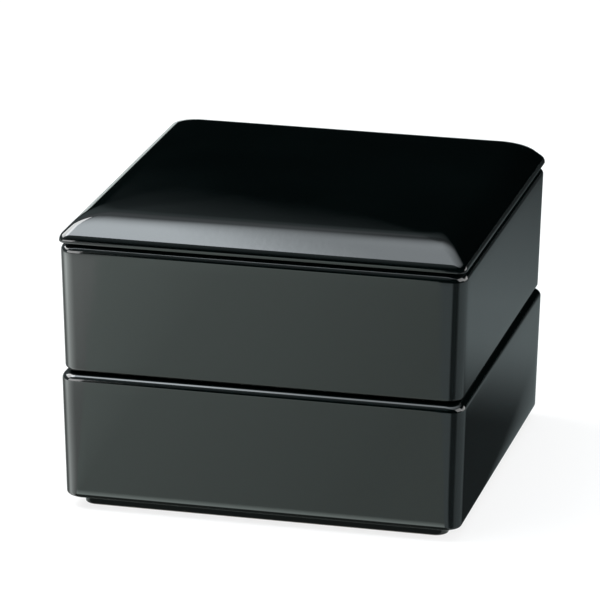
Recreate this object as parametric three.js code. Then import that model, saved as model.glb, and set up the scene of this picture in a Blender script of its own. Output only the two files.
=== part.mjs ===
// A square food box of glazed ceramic: two tiers that stack foot in mouth, and a lid that lifts off.
// Millimetres, +Z up. The origin is on the table under the middle of the box, and the front faces -Y.

import * as THREE from 'three';

// Plan sizes that the three pieces share
const RIM_WIDTH = 150; // across the outside of a tier's rim, and of the lid
const CORNER_RADIUS = 6; // upright edges of a tier, outside
const MOUTH_CORNER_RADIUS = 5.5; // upright edges, inside the wall
const WALL = 6;
const LEAN = THREE.MathUtils.degToRad(1.35); // of every upright face, from the rim inwards going down

// Fits between the pieces
const MOUTH_CLEARANCE = 0.8; // all round a foot or a lid's flange in the mouth below it
const SEAT_GAP = 0.4; // between two glazed faces that rest on each other

// Tier
const TIER_HEIGHT = 48.2; // from the shoulder that rests on the rim below, up to its own rim
const FLOOR = 5;
const RIM_ROUND = 3; // outer edge of the rim
const LIP_ROUND = 1.2; // inner edge of the rim
const BELLY_ROUND = 1.9; // where the outer face turns under to the shoulder
const BASIN_ROUND = 5; // where the inner face meets the floor

// Foot ring, under each tier
const FOOT_HEIGHT = 4;
const FOOT_WIDTH = 5;
const FOOT_ROUND = 0.8;
const RECESS_DEPTH = 3.3; // of the underside, inside the ring
const RECESS_CORNER_RADIUS = 3;
const RECESS_ROUND = 1.2;

// Lid: an upright rim, four bevels and a slightly crowned top, hollow underneath
const LID_CORNER_RADIUS = 3.6; // upright edges, and the mitres between the bevels
const LID_RIM_HEIGHT = 2.3;
const BEVEL_WIDTH = 7.5;
const BEVEL_HEIGHT = 7.9;
const CROWN = 0.8;
const CROWN_POWER = 4; // the higher, the flatter the middle and the steeper the edges of the crown
const LID_THICKNESS = 5;
const LID_EDGE_ROUND = 0.7;
const SHOULDER_ROUND = 3.8; // from the upright rim to a bevel
const TOP_ROUND = 13; // from a bevel to the top
const FLANGE_DEPTH = 4; // of the ring that drops into the tier's mouth
const FLANGE_WIDTH = 4;
const FLANGE_ROUND = 0.9;
const HOLLOW_CORNER_RADIUS = 4;
const HOLLOW_ROUND = 5;

// Facets
const CHORD_ERROR = 0.05; // of a rounded edge
const CORNER_STEPS = 7; // round each upright edge
const CROWN_STEPS = 4;

const GLAZE = { color: '#0b0f0e', roughness: 0.08, metalness: 0 };

// Half-widths at a depth below a tier's rim
const outsideAt = (depth) => RIM_WIDTH / 2 - depth * Math.tan(LEAN);
const mouthAt = (depth) => outsideAt(depth) - WALL;
const plugAt = (depth) => mouthAt(depth) - MOUTH_CLEARANCE;
const PLUG_CORNER_RADIUS = MOUTH_CORNER_RADIUS - MOUTH_CLEARANCE;

// A profile runs along half of an upright section. Each of its corners has a half-width from the middle,
// a height z, the radius that the plan's corners have there, and the radius that rounds the profile itself.
const profileCorner = (half, z, planRadius, round = 0) => {
  return { point: new THREE.Vector3(half, z, planRadius), round };
};

// How far along its two edges each rounding reaches, cut down where two roundings would meet
function roundingReaches(corners) {
  const flat = corners.map(({ point }) => new THREE.Vector2(point.x, point.y));
  const halfTurn = corners.map((corner, i) => {
    if (!corner.round) return 0;
    const back = flat[i - 1].clone().sub(flat[i]);
    const ahead = flat[i + 1].clone().sub(flat[i]);
    return back.angleTo(ahead) / 2;
  });
  const wanted = corners.map((corner, i) => (corner.round ? corner.round / Math.tan(halfTurn[i]) : 0));
  const share = (i) => {
    const length = flat[i].distanceTo(flat[i + 1]);
    return Math.min(1, length / (wanted[i] + wanted[i + 1] || length));
  };
  return corners.map((corner, i) => {
    if (!corner.round) return { reach: 0, halfTurn: 0 };
    return { reach: wanted[i] * Math.min(share(i - 1), share(i)), halfTurn: halfTurn[i] };
  });
}

// The profile with its corners rounded by arcs. Plan radii change steadily along each arc.
function roundProfile(corners) {
  const reaches = roundingReaches(corners);
  return corners.flatMap(({ point, round }, i) => {
    if (!round) return [point];
    const { reach, halfTurn } = reaches[i];
    const before = corners[i - 1].point;
    const after = corners[i + 1].point;
    const towards = (end) => {
      const length = Math.hypot(end.x - point.x, end.y - point.y);
      return point.clone().lerp(end, reach / length);
    };
    const start = towards(before);
    const end = towards(after);
    const radius = reach * Math.tan(halfTurn);
    const sweep = Math.PI - 2 * halfTurn;
    const stepAngle = 2 * Math.acos(1 - Math.min(CHORD_ERROR / radius, 1));
    const steps = Math.max(2, Math.ceil(sweep / stepAngle));
    const middle = start.clone().lerp(end, 0.5);
    const centre = point.clone().lerp(middle, 1 / Math.cos(halfTurn) ** 2);
    const first = Math.atan2(start.y - centre.y, start.x - centre.x);
    const last = Math.atan2(end.y - centre.y, end.x - centre.x);
    const turn = Math.atan2(Math.sin(last - first), Math.cos(last - first));
    return Array.from({ length: steps + 1 }, (_, step) => {
      const part = step / steps;
      const angle = first + turn * part;
      const planRadius = THREE.MathUtils.lerp(start.z, end.z, part);
      return new THREE.Vector3(
        centre.x + radius * Math.cos(angle),
        centre.y + radius * Math.sin(angle),
        planRadius,
      );
    });
  });
}

// The square outline with round corners that one profile point sweeps out
function ringPoints(profilePoint) {
  const { x: half, y: z, z: planRadius } = profilePoint;
  const quarter = Math.PI / 2;
  return [0, 1, 2, 3].flatMap((turns) => {
    return Array.from({ length: CORNER_STEPS + 1 }, (_, step) => {
      const angle = quarter * (step / CORNER_STEPS);
      const local = new THREE.Vector3(
        half - planRadius + planRadius * Math.cos(angle),
        half - planRadius + planRadius * Math.sin(angle),
        z,
      );
      return local.applyAxisAngle(new THREE.Vector3(0, 0, 1), turns * quarter);
    });
  });
}

// The closed solid that a profile makes on its way round the square, from the axis out and back to the axis
function squareLathe(profile) {
  const rings = profile.slice(1, -1).map(ringPoints);
  const poles = [profile[0], profile[profile.length - 1]].map(({ y }) => new THREE.Vector3(0, 0, y));
  const count = rings[0].length;
  const lastRing = (rings.length - 1) * count;
  const firstPole = rings.length * count;
  const faces = [];
  for (let i = 0; i < count; i += 1) {
    const next = (i + 1) % count;
    faces.push(firstPole, next, i);
    for (let ring = 0; ring < rings.length - 1; ring += 1) {
      const below = ring * count;
      const above = below + count;
      faces.push(below + i, below + next, above + next);
      faces.push(below + i, above + next, above + i);
    }
    faces.push(firstPole + 1, lastRing + i, lastRing + next);
  }
  const geometry = new THREE.BufferGeometry();
  geometry.setFromPoints([...rings.flat(), ...poles]);
  geometry.setIndex(faces);
  geometry.computeVertexNormals();
  return geometry;
}

// Tier: under the floor, round the foot ring, up the outside, over the rim and down to the floor inside
function tierGeometry() {
  const rimZ = FOOT_HEIGHT + TIER_HEIGHT;
  const floorZ = RECESS_DEPTH + FLOOR;
  const recess = plugAt(FOOT_HEIGHT) - FOOT_WIDTH;
  return squareLathe(roundProfile([
    profileCorner(0, RECESS_DEPTH, 0),
    profileCorner(recess, RECESS_DEPTH, RECESS_CORNER_RADIUS, RECESS_ROUND),
    profileCorner(recess, 0, RECESS_CORNER_RADIUS, FOOT_ROUND),
    profileCorner(plugAt(FOOT_HEIGHT), 0, PLUG_CORNER_RADIUS, FOOT_ROUND),
    profileCorner(plugAt(0), FOOT_HEIGHT, PLUG_CORNER_RADIUS, FOOT_ROUND),
    profileCorner(outsideAt(TIER_HEIGHT), FOOT_HEIGHT, CORNER_RADIUS, BELLY_ROUND),
    profileCorner(outsideAt(0), rimZ, CORNER_RADIUS, RIM_ROUND),
    profileCorner(mouthAt(0), rimZ, MOUTH_CORNER_RADIUS, LIP_ROUND),
    profileCorner(mouthAt(rimZ - floorZ), floorZ, MOUTH_CORNER_RADIUS, BASIN_ROUND),
    profileCorner(0, floorZ, 0),
  ]));
}

// Lid, measured from the face that rests on the rim: up inside the flange, round it, and over the top
function lidGeometry() {
  const edge = RIM_WIDTH / 2;
  const top = edge - BEVEL_WIDTH;
  const topZ = LID_RIM_HEIGHT + BEVEL_HEIGHT;
  const ceilingZ = topZ - LID_THICKNESS;
  const hollow = plugAt(FLANGE_DEPTH) - FLANGE_WIDTH;
  const crown = Array.from({ length: CROWN_STEPS }, (_, step) => {
    const share = 1 - (step + 1) / CROWN_STEPS;
    return profileCorner(top * share, topZ + CROWN * (1 - share ** CROWN_POWER), LID_CORNER_RADIUS * share);
  });
  return squareLathe(roundProfile([
    profileCorner(0, ceilingZ, 0),
    profileCorner(hollow, ceilingZ, HOLLOW_CORNER_RADIUS, HOLLOW_ROUND),
    profileCorner(hollow, -FLANGE_DEPTH, HOLLOW_CORNER_RADIUS, FLANGE_ROUND),
    profileCorner(plugAt(FLANGE_DEPTH), -FLANGE_DEPTH, PLUG_CORNER_RADIUS, FLANGE_ROUND),
    profileCorner(plugAt(0), 0, PLUG_CORNER_RADIUS, FLANGE_ROUND),
    profileCorner(edge, 0, LID_CORNER_RADIUS, LID_EDGE_ROUND),
    profileCorner(edge, LID_RIM_HEIGHT, LID_CORNER_RADIUS, SHOULDER_ROUND),
    profileCorner(top, topZ, LID_CORNER_RADIUS, TOP_ROUND),
    ...crown,
  ]));
}

function piece(name, geometry, z) {
  const mesh = new THREE.Mesh(geometry, new THREE.MeshStandardMaterial(GLAZE));
  mesh.name = name;
  mesh.position.z = z;
  return mesh;
}

// The stack: each foot drops into the mouth below until the shoulder meets the rim
const tierStep = TIER_HEIGHT + SEAT_GAP;
const jubako = new THREE.Group();
jubako.add(piece('lower_tier', tierGeometry(), 0));
jubako.add(piece('upper_tier', tierGeometry(), tierStep));
jubako.add(piece('lid', lidGeometry(), FOOT_HEIGHT + 2 * tierStep));

export default jubako;
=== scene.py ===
"""A square stacking food box of black glazed ceramic, two tiers and a lid, on a pale studio floor.

Metres, +Z up, and the front faces -Y. Each piece is its section swept round a square with round corners.
"""

import math
from collections import namedtuple
from functools import partial, reduce

import bpy
from mathutils import Matrix, Vector, noise


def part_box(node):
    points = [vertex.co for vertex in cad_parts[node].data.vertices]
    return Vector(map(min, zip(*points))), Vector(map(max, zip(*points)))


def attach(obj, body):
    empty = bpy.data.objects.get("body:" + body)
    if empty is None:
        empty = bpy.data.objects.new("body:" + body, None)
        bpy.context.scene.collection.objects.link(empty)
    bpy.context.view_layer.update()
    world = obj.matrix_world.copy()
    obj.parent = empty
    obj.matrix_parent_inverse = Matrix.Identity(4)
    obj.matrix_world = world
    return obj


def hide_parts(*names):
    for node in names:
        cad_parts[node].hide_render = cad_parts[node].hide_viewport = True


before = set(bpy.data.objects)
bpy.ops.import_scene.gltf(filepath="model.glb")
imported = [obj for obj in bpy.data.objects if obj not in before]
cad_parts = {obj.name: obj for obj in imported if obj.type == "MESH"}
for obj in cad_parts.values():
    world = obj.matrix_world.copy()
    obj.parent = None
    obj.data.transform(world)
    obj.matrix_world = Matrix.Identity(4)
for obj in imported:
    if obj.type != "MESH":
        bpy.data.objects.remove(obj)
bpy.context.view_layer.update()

MM = 0.001
UP = Vector((0, 0, 1))
QUARTER_TURN = math.pi / 2
SIDES = 4
LEFT, RIGHT = -1, 1  # the sign of x there

# Sizes that the pieces share and the frame's boxes don't give
CORNER_RADIUS = 6 * MM  # upright edges of a tier, outside
MOUTH_CORNER_RADIUS = 5.5 * MM  # upright edges, inside the wall
WALL = 6 * MM
LEAN = math.radians(1.35)  # of every upright face, from the rim inwards going down
MOUTH_CLEARANCE = 0.8 * MM  # all round a foot or a lid's flange in the mouth below it
PLUG_CORNER_RADIUS = MOUTH_CORNER_RADIUS - MOUTH_CLEARANCE

# Tier
TIER_FLOOR = 5 * MM
RIM_ROUND = 3 * MM  # outer edge of the rim
LIP_ROUND = 1.2 * MM  # inner edge of the rim
BELLY_ROUND = 1.9 * MM  # where the outer face turns under
BASIN_ROUND = 5 * MM  # where the inner face meets the floor

# Foot ring, under each tier
FOOT_HEIGHT = 4 * MM
FOOT_WIDTH = 5 * MM
FOOT_ROUND = 0.8 * MM
RECESS_DEPTH = 3.3 * MM  # of the underside, inside the ring
RECESS_CORNER_RADIUS = 3 * MM
RECESS_ROUND = 1.2 * MM

# Lid
LID_CORNER_RADIUS = 3.6 * MM  # upright edges, and the mitres between the bevels
LID_RIM_HEIGHT = 2.3 * MM
BEVEL_WIDTH = 7.5 * MM
CROWN = 0.8 * MM
CROWN_POWER = 4  # the higher, the flatter the middle and the steeper the edges of the crown
LID_THICKNESS = 5 * MM
LID_EDGE_ROUND = 0.7 * MM
SHOULDER_ROUND = 3.8 * MM  # from the upright rim to a bevel
TOP_ROUND = 13 * MM  # from a bevel to the top
FLANGE_DEPTH = 4 * MM  # of the ring that drops into the tier's mouth
FLANGE_WIDTH = 4 * MM
FLANGE_ROUND = 0.9 * MM
HOLLOW_CORNER_RADIUS = 4 * MM
HOLLOW_ROUND = 5 * MM

# Places that the frame gives
lid_low, lid_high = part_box("lid")
HALF_WIDTH = (lid_high.x - lid_low.x) / 2
FRONT = -HALF_WIDTH
SEAT = lid_low.z + FLANGE_DEPTH
LID_TOP = lid_high.z - CROWN

# Mesh density
ARC_STEP = math.radians(8)
LEAST_ARC_STEPS = 3
CORNER_STEPS = 14
SIDE_STEPS = 34
RUN_STEP = 4 * MM
CROWN_STEPS = 10

# How far hand-made ceramic strays from its true form, always inwards: long waves and short ones
WARP_DEPTH = 0.2 * MM
WARP_LENGTH = 90 * MM
RIPPLE_DEPTH = 0.03 * MM
RIPPLE_LENGTH = 14 * MM

THIN_GLAZE_ROUND = 2.5 * MM  # glaze thins on an edge rounded less than this
GLAZE_LINE = 0.5 * MM  # glaze starts within about this height above the bottom of a foot or flange

# A corner or a row of a section: half-width, height, radius of the plan's corners there, and in a corner
# the radius that rounds the section itself, or in a row how far it lies on a sharp edge
Corner = namedtuple("Corner", "half z plan round", defaults=(0,))
Row = namedtuple("Row", "half z plan edge")


# Section profiles


def mix(a, b, share):
    return a + (b - a) * share


def in_section(corner):
    """Where a corner or row lies in the plane of the section."""
    return Vector((corner.half, corner.z))


def along(start, end, share):
    """The row a share of the way from one corner or row to another, off any edge."""
    half = mix(start.half, end.half, share)
    z = mix(start.z, end.z, share)
    return Row(half, z, mix(start.plan, end.plan, share), 0)


def arc_rows(before, corner, after):
    """The rows of the arc that rounds a corner. Their edge value peaks half way round an outer edge."""
    here = in_section(corner)
    back = in_section(before) - here
    ahead = in_section(after) - here
    half_turn = back.angle(ahead) / 2
    reach = corner.round / math.tan(half_turn)
    start = along(corner, before, reach / back.length)
    end = along(corner, after, reach / ahead.length)
    middle = (in_section(start) + in_section(end)) / 2
    centre = here.lerp(middle, 1 / math.cos(half_turn) ** 2)
    first = in_section(start) - centre
    turn = (in_section(end) - centre).angle_signed(first)
    outer = 1 if turn > 0 and corner.round < THIN_GLAZE_ROUND else 0
    steps = max(LEAST_ARC_STEPS, math.ceil(abs(turn) / ARC_STEP))
    rows = []
    for step in range(steps + 1):
        share = step / steps
        spoke = Matrix.Rotation(turn * share, 2) @ first
        edge = outer * math.sin(math.pi * share)
        rows.append(Row(centre.x + spoke.x, centre.y + spoke.y, mix(start.plan, end.plan, share), edge))
    return rows


def run_rows(start, end):
    """The rows between the ends of a straight run."""
    length = math.hypot(end.half - start.half, end.z - start.z)
    steps = max(1, round(length / RUN_STEP))
    return [along(start, end, step / steps) for step in range(1, steps)]


def profile_rows(corners):
    """A section's rows, with its corners rounded and its straight runs cut into short steps."""
    rows = [along(corners[0], corners[0], 0)]
    for before, corner, after in zip(corners, corners[1:], corners[2:]):
        arc = arc_rows(before, corner, after) if corner.round else [along(corner, corner, 0)]
        rows += run_rows(rows[-1], arc[0])
        rows += arc
    end = along(corners[-1], corners[-1], 0)
    return rows + run_rows(rows[-1], end) + [end]


def ring_points(row):
    """The square with round corners that one row sweeps out, anticlockwise seen from above."""
    arc_centre = row.half - row.plan
    corner_and_side = []
    for step in range(CORNER_STEPS + 1):
        angle = step / CORNER_STEPS * QUARTER_TURN
        x = arc_centre + row.plan * math.cos(angle)
        y = arc_centre + row.plan * math.sin(angle)
        corner_and_side.append(Vector((x, y, row.z)))
    for step in range(1, SIDE_STEPS):
        x = mix(arc_centre, -arc_centre, step / SIDE_STEPS)
        corner_and_side.append(Vector((x, row.half, row.z)))
    turns = [Matrix.Rotation(quarters * QUARTER_TURN, 3, "Z") for quarters in range(SIDES)]
    return [turn @ point for turn in turns for point in corner_and_side]


# Meshes


def new_object(name, data):
    thing = bpy.data.objects.new(name, data)
    bpy.context.scene.collection.objects.link(thing)
    return thing


def warp(point, seed):
    """How far the glazed face lies inside its true form at a point."""
    offset = seed * UP
    wave = noise.noise(point / WARP_LENGTH + offset)
    ripple = noise.noise(point / RIPPLE_LENGTH + offset)
    return WARP_DEPTH * (1 + wave) / 2 + RIPPLE_DEPTH * (1 + ripple) / 2


def swept_faces(rings, count):
    """Faces between rings of so many points each, and from the first and last ring to a pole."""
    first_pole = rings * count
    last_pole = first_pole + 1
    last_ring = first_pole - count
    faces = []
    for i in range(count):
        after = (i + 1) % count
        faces.append((first_pole, after, i))
        faces.append((last_pole, last_ring + i, last_ring + after))
        for low in range(0, last_ring, count):
            high = low + count
            faces.append((low + i, low + after, high + after, high + i))
    return faces


def store_values(mesh, name, values):
    """Keeps a number for each point of a mesh, for its material."""
    mesh.attributes.new(name, "FLOAT", "POINT").data.foreach_set("value", values)


def swept_piece(name, corners, seed):
    """A closed piece swept from a section.

    Each of its points stores how far it lies on a sharp edge, and how near the bottom of the piece.
    """
    first, *inner, last = profile_rows(corners)
    rings = [ring_points(row) for row in inner]
    count = len(rings[0])
    points = [point for ring in rings for point in ring] + [first.z * UP, last.z * UP]
    mesh = bpy.data.meshes.new(name)
    mesh.from_pydata(points, [], swept_faces(len(rings), count))
    normals = [vertex.normal.copy() for vertex in mesh.vertices]
    for vertex, normal in zip(mesh.vertices, normals):
        vertex.co -= normal * warp(vertex.co, seed)
    edges = [row.edge for row in inner for _ in range(count)]
    store_values(mesh, "edge", edges + [first.edge, last.edge])
    lowest = min(point.z for point in points)
    store_values(mesh, "bare", [1 - (point.z - lowest) / GLAZE_LINE for point in points])
    mesh.shade_smooth()
    return new_object(name, mesh)


# Sections of the pieces, with half-widths at a depth below a tier's rim


def outside_at(depth):
    return HALF_WIDTH - depth * math.tan(LEAN)


def mouth_at(depth):
    return outside_at(depth) - WALL


def plug_at(depth):
    return mouth_at(depth) - MOUTH_CLEARANCE


def tier_corners(node):
    """From under the floor, round the foot ring, up the outside, over the rim and down to the floor."""
    low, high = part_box(node)
    base, rim = low.z, high.z
    shoulder = base + FOOT_HEIGHT
    floor = base + RECESS_DEPTH + TIER_FLOOR
    recess = plug_at(FOOT_HEIGHT) - FOOT_WIDTH
    return [
        Corner(0, base + RECESS_DEPTH, 0),
        Corner(recess, base + RECESS_DEPTH, RECESS_CORNER_RADIUS, RECESS_ROUND),
        Corner(recess, base, RECESS_CORNER_RADIUS, FOOT_ROUND),
        Corner(plug_at(FOOT_HEIGHT), base, PLUG_CORNER_RADIUS, FOOT_ROUND),
        Corner(plug_at(0), shoulder, PLUG_CORNER_RADIUS, FOOT_ROUND),
        Corner(outside_at(rim - shoulder), shoulder, CORNER_RADIUS, BELLY_ROUND),
        Corner(outside_at(0), rim, CORNER_RADIUS, RIM_ROUND),
        Corner(mouth_at(0), rim, MOUTH_CORNER_RADIUS, LIP_ROUND),
        Corner(mouth_at(rim - floor), floor, MOUTH_CORNER_RADIUS, BASIN_ROUND),
        Corner(0, floor, 0),
    ]


def crown_corner(share):
    """A step of the lid's crowned top, a share of the way out. Its plan is rounder near the middle."""
    edge = HALF_WIDTH - BEVEL_WIDTH
    plan = share * mix(edge, LID_CORNER_RADIUS, share)
    return Corner(share * edge, LID_TOP + CROWN * (1 - share ** CROWN_POWER), plan)


def lid_corners():
    """From under the top, round the flange, out to the rim, and over the bevel to the middle."""
    ceiling = LID_TOP - LID_THICKNESS
    hollow = plug_at(FLANGE_DEPTH) - FLANGE_WIDTH
    return [
        Corner(0, ceiling, 0),
        Corner(hollow, ceiling, HOLLOW_CORNER_RADIUS, HOLLOW_ROUND),
        Corner(hollow, lid_low.z, HOLLOW_CORNER_RADIUS, FLANGE_ROUND),
        Corner(plug_at(FLANGE_DEPTH), lid_low.z, PLUG_CORNER_RADIUS, FLANGE_ROUND),
        Corner(plug_at(0), SEAT, PLUG_CORNER_RADIUS, FLANGE_ROUND),
        Corner(HALF_WIDTH, SEAT, LID_CORNER_RADIUS, LID_EDGE_ROUND),
        Corner(HALF_WIDTH, SEAT + LID_RIM_HEIGHT, LID_CORNER_RADIUS, SHOULDER_ROUND),
        Corner(HALF_WIDTH - BEVEL_WIDTH, LID_TOP, LID_CORNER_RADIUS, TOP_ROUND),
    ] + [crown_corner(1 - step / CROWN_STEPS) for step in range(1, CROWN_STEPS + 1)]


# Shader nodes

# A ramp takes a value from start to end onto first to last
Ramp = namedtuple("Ramp", "first last start end smooth", defaults=(0.0, 1.0, False))

# Noise, as waves in a metre and how many finer layers lie on them
Grain = namedtuple("Grain", "scale detail")

# The mix node has sockets of its own for each type
MixSockets = namedtuple("MixSockets", "low high result")
NUMBERS = MixSockets(2, 3, 0)
COLOURS = MixSockets(6, 7, 2)


def opaque(colour):
    return (*colour, 1)


def add_node(tree, kind, **settings):
    node = tree.nodes.new(kind)
    for name, value in settings.items():
        setattr(node, name, value)
    return node


def feed(tree, socket, value):
    """Links another node's output to a socket, or sets a constant there."""
    if isinstance(value, bpy.types.NodeSocket):
        tree.links.new(value, socket)
    else:
        socket.default_value = value


def noise_node(tree, place, grain):
    node = add_node(tree, "ShaderNodeTexNoise")
    feed(tree, node.inputs["Vector"], place)
    feed(tree, node.inputs["Scale"], grain.scale)
    feed(tree, node.inputs["Detail"], grain.detail)
    return node.outputs["Fac"]


def ramp_node(tree, value, ramp):
    """A ramp of a value, held at both of its ends."""
    kind = "SMOOTHSTEP" if ramp.smooth else "LINEAR"
    node = add_node(tree, "ShaderNodeMapRange", interpolation_type=kind)
    feed(tree, node.inputs["Value"], value)
    feed(tree, node.inputs["From Min"], ramp.start)
    feed(tree, node.inputs["From Max"], ramp.end)
    feed(tree, node.inputs["To Min"], ramp.first)
    feed(tree, node.inputs["To Max"], ramp.last)
    return node.outputs["Result"]


def mix_node(tree, kind, sockets, share, low, high):
    node = add_node(tree, "ShaderNodeMix", data_type=kind)
    feed(tree, node.inputs["Factor"], share)
    feed(tree, node.inputs[sockets.low], low)
    feed(tree, node.inputs[sockets.high], high)
    return node.outputs[sockets.result]


def colour_mix(tree, share, low, high):
    return mix_node(tree, "RGBA", COLOURS, share, low, high)


def number_mix(tree, share, low, high):
    return mix_node(tree, "FLOAT", NUMBERS, share, low, high)


def math_node(tree, operation, a, b):
    node = add_node(tree, "ShaderNodeMath", operation=operation)
    for socket, value in zip(node.inputs, (a, b)):
        feed(tree, socket, value)
    return node.outputs["Value"]


def sum_node(tree, *terms):
    return reduce(partial(math_node, tree, "ADD"), terms)


def product_node(tree, *factors):
    return reduce(partial(math_node, tree, "MULTIPLY"), factors)


def vector_node(tree, operation, vector, fixed):
    """A number worked out from a vector and a fixed one."""
    node = add_node(tree, "ShaderNodeVectorMath", operation=operation)
    for socket, value in zip(node.inputs, (vector, fixed)):
        feed(tree, socket, value)
    return node.outputs["Value"]


def split_node(tree, vector):
    node = add_node(tree, "ShaderNodeSeparateXYZ")
    feed(tree, node.inputs["Vector"], vector)
    return [node.outputs[axis] for axis in "XYZ"]


def bump_node(tree, height, distance):
    node = add_node(tree, "ShaderNodeBump")
    feed(tree, node.inputs["Height"], height)
    feed(tree, node.inputs["Distance"], distance)
    return node


def stored_values(tree, name):
    return add_node(tree, "ShaderNodeAttribute", attribute_name=name).outputs["Fac"]


def object_place(tree):
    return add_node(tree, "ShaderNodeTexCoord").outputs["Object"]


# Glaze and clay

BLACK_GLAZE = (0.0005, 0.0013, 0.0013)
THICK_GLAZE = (0.0003, 0.0009, 0.0009)
THIN_GLAZE = (0.0035, 0.0032, 0.0028)
CLAY = (0.42, 0.36, 0.30)
CLAY_SPECK = (0.20, 0.16, 0.13)
GLAZE_IOR = 1.55
CLAY_ROUGHNESS = 0.85
PEEL_DEPTH = 0.006 * MM
GRIT_DEPTH = 0.15 * MM

CLOUD = Grain(24, 3)  # slow changes in the glaze's thickness
MOTTLE = Grain(160, 4)  # patches where the glaze is thin or ends early
PEEL = Grain(420, 2)  # the orange peel of a thick glaze
GRIT = Grain(2200, 3)  # specks in the clay

BLACK_BY_CLOUD = Ramp(0, 1, 0.3, 0.7)
ROUGHNESS_BY_CLOUD = Ramp(0.035, 0.075, 0.3, 0.7)
THIN_BY_MOTTLE = Ramp(0.2, 1.0, 0.35, 0.65)
LINE_SHIFT_BY_MOTTLE = Ramp(-0.5, 0.5)
BARE_BY_LINE = Ramp(0, 1, 0.35, 0.5)
SPECKS_BY_GRIT = Ramp(0, 1, 0.55, 0.7)


def glaze_material():
    """Black glaze, thinner along its edges, over pale clay that shows where the piece stood in the kiln."""
    material = bpy.data.materials.new("black_glaze")
    material.use_nodes = True
    tree = material.node_tree
    shader = tree.nodes["Principled BSDF"]
    place = object_place(tree)
    cloud, mottle, peel, grit = (noise_node(tree, place, grain) for grain in (CLOUD, MOTTLE, PEEL, GRIT))

    thin = product_node(tree, stored_values(tree, "edge"), ramp_node(tree, mottle, THIN_BY_MOTTLE))
    black = ramp_node(tree, cloud, BLACK_BY_CLOUD)
    full_glaze = colour_mix(tree, black, opaque(THICK_GLAZE), opaque(BLACK_GLAZE))
    glaze = colour_mix(tree, thin, full_glaze, opaque(THIN_GLAZE))
    specks = ramp_node(tree, grit, SPECKS_BY_GRIT)
    clay = colour_mix(tree, specks, opaque(CLAY), opaque(CLAY_SPECK))
    line = sum_node(tree, stored_values(tree, "bare"), ramp_node(tree, mottle, LINE_SHIFT_BY_MOTTLE))
    bare = ramp_node(tree, line, BARE_BY_LINE)
    feed(tree, shader.inputs["Base Color"], colour_mix(tree, bare, glaze, clay))

    glaze_roughness = ramp_node(tree, cloud, ROUGHNESS_BY_CLOUD)
    feed(tree, shader.inputs["Roughness"], number_mix(tree, bare, glaze_roughness, CLAY_ROUGHNESS))
    peel_bump = bump_node(tree, peel, PEEL_DEPTH)
    grit_bump = bump_node(tree, product_node(tree, grit, bare), GRIT_DEPTH)
    feed(tree, grit_bump.inputs["Normal"], peel_bump.outputs["Normal"])
    feed(tree, shader.inputs["Normal"], grit_bump.outputs["Normal"])
    shader.inputs["IOR"].default_value = GLAZE_IOR
    return material


# Studio

WHITE = (1.0, 1.0, 1.0)
GREEN_WHITE = (0.86, 1.0, 0.95)
PALE_GREEN_WHITE = (0.93, 1.0, 0.98)
BLUE_WHITE = (0.92, 1.0, 1.05)
TEAL_WHITE = (0.84, 1.0, 1.03)

FLOOR_SIZE = 8
FLOOR_COLOUR = (0.8, 0.8, 0.8)
FLOOR_WHITE_SHARE = 0.8  # of plain white in the floor that the camera sees; the rest takes the shadow
FLOOR_GLOW_SHARE = 0.5  # of plain white in the floor that reflections show
ROOM_LIGHT = 0.3  # that reaches everything from all round


def empty_material(name):
    """A material with no shader yet."""
    material = bpy.data.materials.new(name)
    material.use_nodes = True
    nodes = material.node_tree.nodes
    nodes.remove(nodes["Principled BSDF"])
    return material


def seen_in_reflections(tree, path):
    return sum_node(tree, path.outputs["Is Glossy Ray"], path.outputs["Is Transmission Ray"])


def blend_shaders(tree, share, low, high):
    node = add_node(tree, "ShaderNodeMixShader")
    for socket, value in zip(node.inputs, (share, low, high)):
        feed(tree, socket, value)
    return node.outputs["Shader"]


def add_floor():
    """A white floor, which still takes a soft shadow."""
    bpy.ops.mesh.primitive_plane_add(size=FLOOR_SIZE)
    floor = bpy.context.object
    floor.name = "studio_floor"
    material = empty_material("studio_floor")
    tree = material.node_tree
    diffuse = add_node(tree, "ShaderNodeBsdfDiffuse")
    diffuse.inputs["Color"].default_value = opaque(FLOOR_COLOUR)
    glow = add_node(tree, "ShaderNodeEmission")
    path = add_node(tree, "ShaderNodeLightPath")
    camera = path.outputs["Is Camera Ray"]
    feed(tree, glow.inputs["Color"], colour_mix(tree, camera, opaque(GREEN_WHITE), opaque(WHITE)))
    direct = product_node(tree, camera, FLOOR_WHITE_SHARE)
    mirrored = product_node(tree, seen_in_reflections(tree, path), FLOOR_GLOW_SHARE)
    share = sum_node(tree, direct, mirrored)
    surface = blend_shaders(tree, share, diffuse.outputs["BSDF"], glow.outputs["Emission"])
    feed(tree, tree.nodes["Material Output"].inputs["Surface"], surface)
    floor.data.materials.append(material)


def add_world():
    """White behind the object and in reflections, and a dim even light from all round."""
    world = bpy.data.worlds.new("studio_world")
    bpy.context.scene.world = world
    world.use_nodes = True
    tree = world.node_tree
    backdrop = tree.nodes["Background"]
    backdrop.inputs["Color"].default_value = opaque(WHITE)
    room = add_node(tree, "ShaderNodeBackground")
    room.inputs["Strength"].default_value = ROOM_LIGHT
    path = add_node(tree, "ShaderNodeLightPath")
    share = sum_node(tree, path.outputs["Is Camera Ray"], seen_in_reflections(tree, path))
    surface = blend_shaders(tree, share, room.outputs["Background"], backdrop.outputs["Background"])
    feed(tree, tree.nodes["World Output"].inputs["Surface"], surface)


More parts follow.
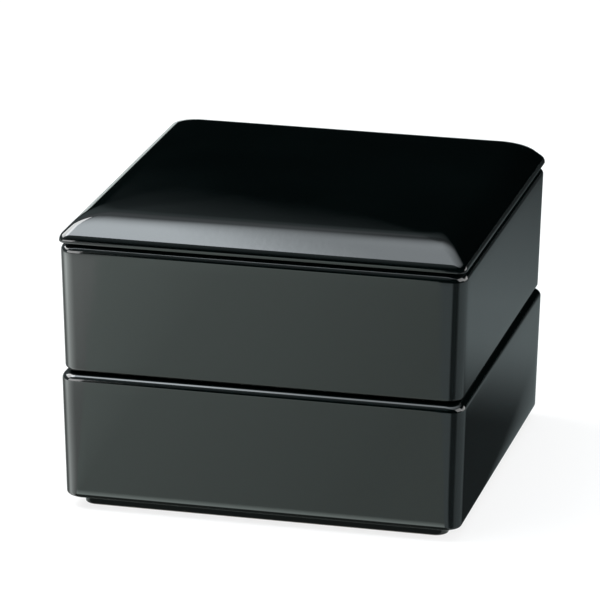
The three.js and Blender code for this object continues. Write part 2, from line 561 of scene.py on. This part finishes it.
def add_glow(name, points, faces, colour, tone):
    """A glowing sheet of the studio, seen only in reflections. Its tone comes from the place on it."""
    mesh = bpy.data.meshes.new(name)
    mesh.from_pydata(points, [], faces)
    material = empty_material(name)
    tree = material.node_tree
    glow = add_node(tree, "ShaderNodeEmission")
    glow.inputs["Color"].default_value = opaque(colour)
    feed(tree, glow.inputs["Strength"], tone(tree, object_place(tree)))
    feed(tree, tree.nodes["Material Output"].inputs["Surface"], glow.outputs["Emission"])
    mesh.materials.append(material)
    sheet = new_object(name, mesh)
    sheet.visible_camera = sheet.visible_diffuse = sheet.visible_shadow = False
    return sheet


# Floor cards: one in front of the object, and a fan round each of its front corners

CARD_LIFT = 0.5 * MM
FAN_RADIUS = {LEFT: 0.9, RIGHT: 3.5}
FAN_BEARINGS = {LEFT: (14, 182), RIGHT: (-12, 188)}  # degrees from straight ahead, out to the fan's side
FAN_STEP = 8
FAN_INSET = 3 * MM  # of a fan's middle from the corner of the rim, as the corners are round
STRAIGHT_ASIDE = 90.0  # the bearing straight out to a fan's side


def fan_corner(side):
    """The middle of the fan at a front corner."""
    return Vector((side * (HALF_WIDTH - FAN_INSET), FRONT + FAN_INSET, CARD_LIFT))


def fan_spoke(side, bearing):
    """A point of a fan's rim."""
    angle = math.radians(bearing)
    return fan_corner(side) + FAN_RADIUS[side] * Vector((side * math.sin(angle), -math.cos(angle), 0))


def fan_outline(side):
    first, last = FAN_BEARINGS[side]
    return [fan_corner(side)] + [fan_spoke(side, bearing) for bearing in range(first, last + 1, FAN_STEP)]


def foot_corner(side):
    return Vector((side * plug_at(0), -plug_at(0), CARD_LIFT))


def front_outline():
    """From the left corner, out between the two fans, and back to the foot."""
    first_left, _ = FAN_BEARINGS[LEFT]
    first_right, _ = FAN_BEARINGS[RIGHT]
    outer = [fan_spoke(LEFT, first_left), fan_spoke(RIGHT, first_right)]
    return [fan_corner(LEFT)] + outer + [fan_corner(RIGHT), foot_corner(RIGHT), foot_corner(LEFT)]


def bearing_node(tree, place, side):
    x, y, _ = split_node(tree, place)
    corner = fan_corner(side)
    aside = product_node(tree, math_node(tree, "SUBTRACT", x, corner.x), side)
    behind = math_node(tree, "SUBTRACT", y, corner.y)
    turn = product_node(tree, math_node(tree, "ARCTAN2", behind, aside), math.degrees(1))
    return sum_node(tree, turn, STRAIGHT_ASIDE)


def distance_node(tree, place, side):
    return vector_node(tree, "DISTANCE", place, fan_corner(side))


# Tones of the cards, by place or distance in metres or by bearing in degrees. A tone of 1 is white.
PLAIN_FLOOR_TONE = 1.0  # to which a fan returns at its last bearing

GLOW_START = FRONT - 13.5 * MM  # of a bright strip along the front face
SHADE_START = FRONT - 9.5 * MM
SHADE_END = FRONT - 6.5 * MM
FRONT_BY_X = Ramp(1.38, 0.88, -0.125, 0.03)
FRONT_BY_LEFT_BEARING = Ramp(0.0, 0.25, 2, 14)
FRONT_NEAR_FACE = Ramp(0.0, 2.0, GLOW_START, SHADE_START)
FRONT_FOOT_SHADE = Ramp(1.0, 0.05, SHADE_START, SHADE_END)


def front_tone(tree, place):
    """Brighter to the left and close to the front face, and shaded next to the foot."""
    x, y, _ = split_node(tree, place)
    across = ramp_node(tree, x, FRONT_BY_X)
    left = ramp_node(tree, bearing_node(tree, place, LEFT), FRONT_BY_LEFT_BEARING)
    near = ramp_node(tree, y, FRONT_NEAR_FACE)
    return product_node(tree, sum_node(tree, across, left, near), ramp_node(tree, y, FRONT_FOOT_SHADE))


LEFT_RISE = Ramp(1.9, 5.3, 14, 75)
LEFT_FALL = Ramp(1.0, 0.12, 78, 108)
LEFT_FAR_FALL = Ramp(1.0, 0.65, 100, 150)
LEFT_FAR_SHARE = Ramp(0, 1, 0.3, 0.45)
LEFT_END = Ramp(0, 1, 170, 182)
NEAR_CORNER = Ramp(0.7, 1.0, 0.1, 0.25)


def left_tone(tree, place):
    """Bright to the left of the front corner and dark behind that, with plainer tones further out."""
    bearing = bearing_node(tree, place, LEFT)
    distance = distance_node(tree, place, LEFT)
    rise = ramp_node(tree, bearing, LEFT_RISE)
    fall = ramp_node(tree, bearing, LEFT_FALL)
    bright = product_node(tree, rise, fall, ramp_node(tree, distance, NEAR_CORNER))
    far = ramp_node(tree, bearing, LEFT_FAR_FALL)
    beside = number_mix(tree, ramp_node(tree, distance, LEFT_FAR_SHARE), bright, far)
    return number_mix(tree, ramp_node(tree, bearing, LEFT_END), beside, PLAIN_FLOOR_TONE)


RIGHT_FALL = Ramp(0.85, 0.16, 12, 24)
RIGHT_RISE = Ramp(0.0, 0.56, 56, 72)
RIGHT_BACK_FALL = Ramp(1.0, 0.4, 100, 150)
RIGHT_FAR_FALL = Ramp(1.0, 0.08, 0.3, 0.5)
RIGHT_SIDE_SHARE = Ramp(0, 1, 140, 164)
RIGHT_END = Ramp(0, 1, 176, 188)
# painted shadow of the object beside the right face, lifting towards the back
SIDE_RISE = Ramp(0.03, 0.25, 0.05, 0.16, smooth=True)
SIDE_FALL = Ramp(1.0, 0.2, 0.2, 0.45)


def side_shadow_tone(tree, place):
    """Dark beside the right face, a painted shadow of the object on the floor, lighter just behind it, and
    dark again further back.
    """
    _, y, _ = split_node(tree, place)
    return product_node(tree, ramp_node(tree, y, SIDE_RISE), ramp_node(tree, y, SIDE_FALL))


def right_tone(tree, place):
    """A dark stripe before the front corner, then grey, and then the tones beside the right face."""
    bearing = bearing_node(tree, place, RIGHT)
    distance = distance_node(tree, place, RIGHT)
    rise = ramp_node(tree, bearing, RIGHT_RISE)
    back = ramp_node(tree, bearing, RIGHT_BACK_FALL)
    grey = product_node(tree, rise, back, ramp_node(tree, distance, NEAR_CORNER))
    stripe = sum_node(tree, ramp_node(tree, bearing, RIGHT_FALL), grey)
    corner = product_node(tree, stripe, ramp_node(tree, distance, RIGHT_FAR_FALL))
    beside = number_mix(tree, ramp_node(tree, bearing, RIGHT_SIDE_SHARE), corner, side_shadow_tone(tree, place))
    return number_mix(tree, ramp_node(tree, bearing, RIGHT_END), beside, PLAIN_FLOOR_TONE)


def add_floor_cards():
    """Graded glowing cards on the floor, with the floor's light and shade painted in, which give the tiers'
    faces their reflections.
    """
    cards = (
        ("front_card", front_outline(), GREEN_WHITE, front_tone),
        ("left_card", fan_outline(LEFT), PALE_GREEN_WHITE, left_tone),
        ("right_card", fan_outline(RIGHT), TEAL_WHITE, right_tone),
    )
    for name, points, colour, tone in cards:
        triangles = [(0, i, i + 1) for i in range(1, len(points) - 1)]
        add_glow(name, points, triangles, colour, tone)


# Tent and overhead light

TENT_RADIUS = 3.9
TENT_RINGS = 12
TENT_SEGMENTS = 32
TENT_GLOW_DIRECTION = Vector((-0.6, 0, 0.8))
TENT_LOW_GLOW = Ramp(0.003, 0.13, 0.4, 0.5)
TENT_HIGH_GLOW = Ramp(0.0, 0.25, 0.5, 0.8)


def tent_tone(tree, place):
    """Black at eye level, with a faint glow high on the left."""
    towards = vector_node(tree, "DOT_PRODUCT", place, TENT_GLOW_DIRECTION / TENT_RADIUS)
    low = ramp_node(tree, towards, TENT_LOW_GLOW)
    high = ramp_node(tree, towards, TENT_HIGH_GLOW)
    return sum_node(tree, low, high)


def add_tent():
    """A dark tent over the object, which keeps the lid as black as in a dark room."""
    points = []
    for ring in range(TENT_RINGS + 1):
        height = ring / TENT_RINGS * QUARTER_TURN
        for segment in range(TENT_SEGMENTS):
            angle = segment / TENT_SEGMENTS * 2 * math.pi
            level = Vector((math.cos(angle), math.sin(angle), 0))
            points.append(TENT_RADIUS * (math.cos(height) * level + math.sin(height) * UP))
    faces = []
    for low in range(0, TENT_RINGS * TENT_SEGMENTS, TENT_SEGMENTS):
        for segment in range(TENT_SEGMENTS):
            after = low + (segment + 1) % TENT_SEGMENTS
            faces.append((low + segment, after, after + TENT_SEGMENTS, low + segment + TENT_SEGMENTS))
    add_glow("dark_tent", points, faces, TEAL_WHITE, tent_tone)


OVERHEAD_HEIGHT = 2.1
OVERHEAD_X = (-1.7, 1.7)
OVERHEAD_FRONT = -1.05
OVERHEAD_BACK = 2.6
OVERHEAD_LEFT_FALL = Ramp(8.4, 3.85, -0.60, -0.42, smooth=True)
OVERHEAD_RIGHT_FALL = Ramp(1.0, 0.15, -0.3, 1.6)
OVERHEAD_SLANT = Ramp(-0.4, 0.77, -0.73, 0.0)  # how much further back it fades out from left to right
OVERHEAD_BACK_FALL = Ramp(1.0, 0.07, -0.45, 1.5, smooth=True)
OVERHEAD_TAIL_FALL = Ramp(1.0, 0.4, 1.4, OVERHEAD_BACK)


def overhead_tone(tree, place):
    """Brightest at the front left, dimmer to the right, and fading out towards the back."""
    x, y, _ = split_node(tree, place)
    left = ramp_node(tree, x, OVERHEAD_LEFT_FALL)
    right = ramp_node(tree, x, OVERHEAD_RIGHT_FALL)
    behind = math_node(tree, "SUBTRACT", y, ramp_node(tree, x, OVERHEAD_SLANT))
    back = ramp_node(tree, behind, OVERHEAD_BACK_FALL)
    return product_node(tree, left, right, back, ramp_node(tree, y, OVERHEAD_TAIL_FALL))


def add_overhead():
    """A wide graded light over the object, which lights the floor and the clay too."""
    low_x, high_x = OVERHEAD_X
    front = [(low_x, OVERHEAD_FRONT), (high_x, OVERHEAD_FRONT)]
    back = [(high_x, OVERHEAD_BACK), (low_x, OVERHEAD_BACK)]
    points = [(x, y, OVERHEAD_HEIGHT) for x, y in front + back]
    sheet = add_glow("overhead_light", points, [range(len(points))], BLUE_WHITE, overhead_tone)
    sheet.visible_diffuse = True


# The photograph's camera

CAMERA_AZIMUTH = math.radians(13.78)
CAMERA_ELEVATION = math.radians(17.75)
CAMERA_ROLL = math.radians(0.33)
CAMERA_DISTANCE = 1.718
CAMERA_AIM_RIGHT = -3.12 * MM
CAMERA_AIM_UP = 7.53 * MM
AIM_HEIGHT = 55 * MM  # of the camera and of the two high lamps, near the object's middle
FRAME_PIXELS = 600
FOCAL_PIXELS = 4605


def add_camera():
    cos_e, sin_e = math.cos(CAMERA_ELEVATION), math.sin(CAMERA_ELEVATION)
    cos_a, sin_a = math.cos(CAMERA_AZIMUTH), math.sin(CAMERA_AZIMUTH)
    back = Vector((sin_a * cos_e, -cos_a * cos_e, sin_e))
    right = Vector((cos_a, sin_a, 0))
    up = back.cross(right)
    aim = AIM_HEIGHT * UP + CAMERA_AIM_RIGHT * right + CAMERA_AIM_UP * up
    level = Matrix((right, up, back)).transposed()
    data = bpy.data.cameras.new("camera")
    data.lens = FOCAL_PIXELS / FRAME_PIXELS * data.sensor_width
    camera = new_object("camera", data)
    camera.location = aim + CAMERA_DISTANCE * back
    camera.rotation_mode = "QUATERNION"
    camera.rotation_quaternion = (level @ Matrix.Rotation(CAMERA_ROLL, 3, "Z")).to_quaternion()
    bpy.context.scene.camera = camera


# Lamps

# A lamp's middle, the height on the object's axis that it faces, its width and height, and its brightness
Softbox = namedtuple("Softbox", "name place aim_height size radiance")

# Where upright lamps stand one above the other, and how wide and bright they are
Stand = namedtuple("Stand", "x y width radiance")

LOWEST_LAMP = 0.01
SPLIT_HEIGHT = 0.23  # up to which the lamps on a stand light the lid too
FRONT_LEFT_STAND = Stand(-0.64, -0.775, 0.73, 6.0)
FRONT_LEFT_TOP = 0.51
RIGHT_STAND = Stand(0.79, 0.40, 0.74, 3.0)
RIGHT_TOP = 0.43


def upright_softbox(name, stand, low, high):
    """A softbox on a stand, upright between two heights."""
    middle = (low + high) / 2
    return Softbox(name, (stand.x, stand.y, middle), middle, (stand.width, high - low), stand.radiance)


LEFT_SOFTBOX = Softbox("left_softbox", (-0.63, 0.03, 0.70), AIM_HEIGHT, (0.7, 0.56), 9.0)
LOW_SOFTBOXES = (
    upright_softbox("low_left_softbox", FRONT_LEFT_STAND, LOWEST_LAMP, SPLIT_HEIGHT),
    upright_softbox("low_right_softbox", RIGHT_STAND, LOWEST_LAMP, SPLIT_HEIGHT),
)
TIER_SOFTBOXES = (
    upright_softbox("front_left_softbox", FRONT_LEFT_STAND, SPLIT_HEIGHT, FRONT_LEFT_TOP),
    upright_softbox("right_softbox", RIGHT_STAND, SPLIT_HEIGHT, RIGHT_TOP),
    Softbox("front_right_softbox", (0.79, -0.14, 0.47), AIM_HEIGHT, (0.62, 0.62), 3.5),
)


def add_softbox(box):
    """A lamp of even brightness that faces the object's axis."""
    data = bpy.data.lights.new(box.name, "AREA")
    data.shape = "RECTANGLE"
    data.size, data.size_y = box.size
    data.energy = box.radiance * math.pi * data.size * data.size_y
    lamp = new_object(box.name, data)
    lamp.location = box.place
    lamp.rotation_mode = "QUATERNION"
    lamp.rotation_quaternion = (box.aim_height * UP - Vector(box.place)).to_track_quat("-Z", "Y")
    lamp.visible_camera = False
    return lamp


def spare_piece(lamp, piece):
    """Keeps a lamp's light, and its reflection, off one piece."""
    spared = bpy.data.collections.new(lamp.name + "_spares")
    spared.objects.link(piece)
    spared.collection_objects[0].light_linking.link_state = "EXCLUDE"
    lamp.light_linking.receiver_collection = spared


def add_softboxes(lid):
    """One high on the left, for the lid's left mitre, and others lower down, for the front corners.

    The lid's flat top would mirror the taller ones whole, so they spare it.
    """
    add_softbox(LEFT_SOFTBOX)
    for box in LOW_SOFTBOXES:
        add_softbox(box)
    for box in TIER_SOFTBOXES:
        spare_piece(add_softbox(box), lid)


# The object

glaze = glaze_material()
sections = {
    "lower_tier": tier_corners("lower_tier"),
    "upper_tier": tier_corners("upper_tier"),
    "lid": lid_corners(),
}
pieces = {}
for seed, (node, corners) in enumerate(sections.items()):
    piece = swept_piece(node + "_glazed", corners, seed)
    piece.data.materials.append(glaze)
    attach(piece, node)
    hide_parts(node)
    pieces[node] = piece

add_floor()
add_floor_cards()
add_tent()
add_overhead()
add_softboxes(pieces["lid"])
add_world()
add_camera()
bpy.context.scene.view_settings.view_transform = "Standard"
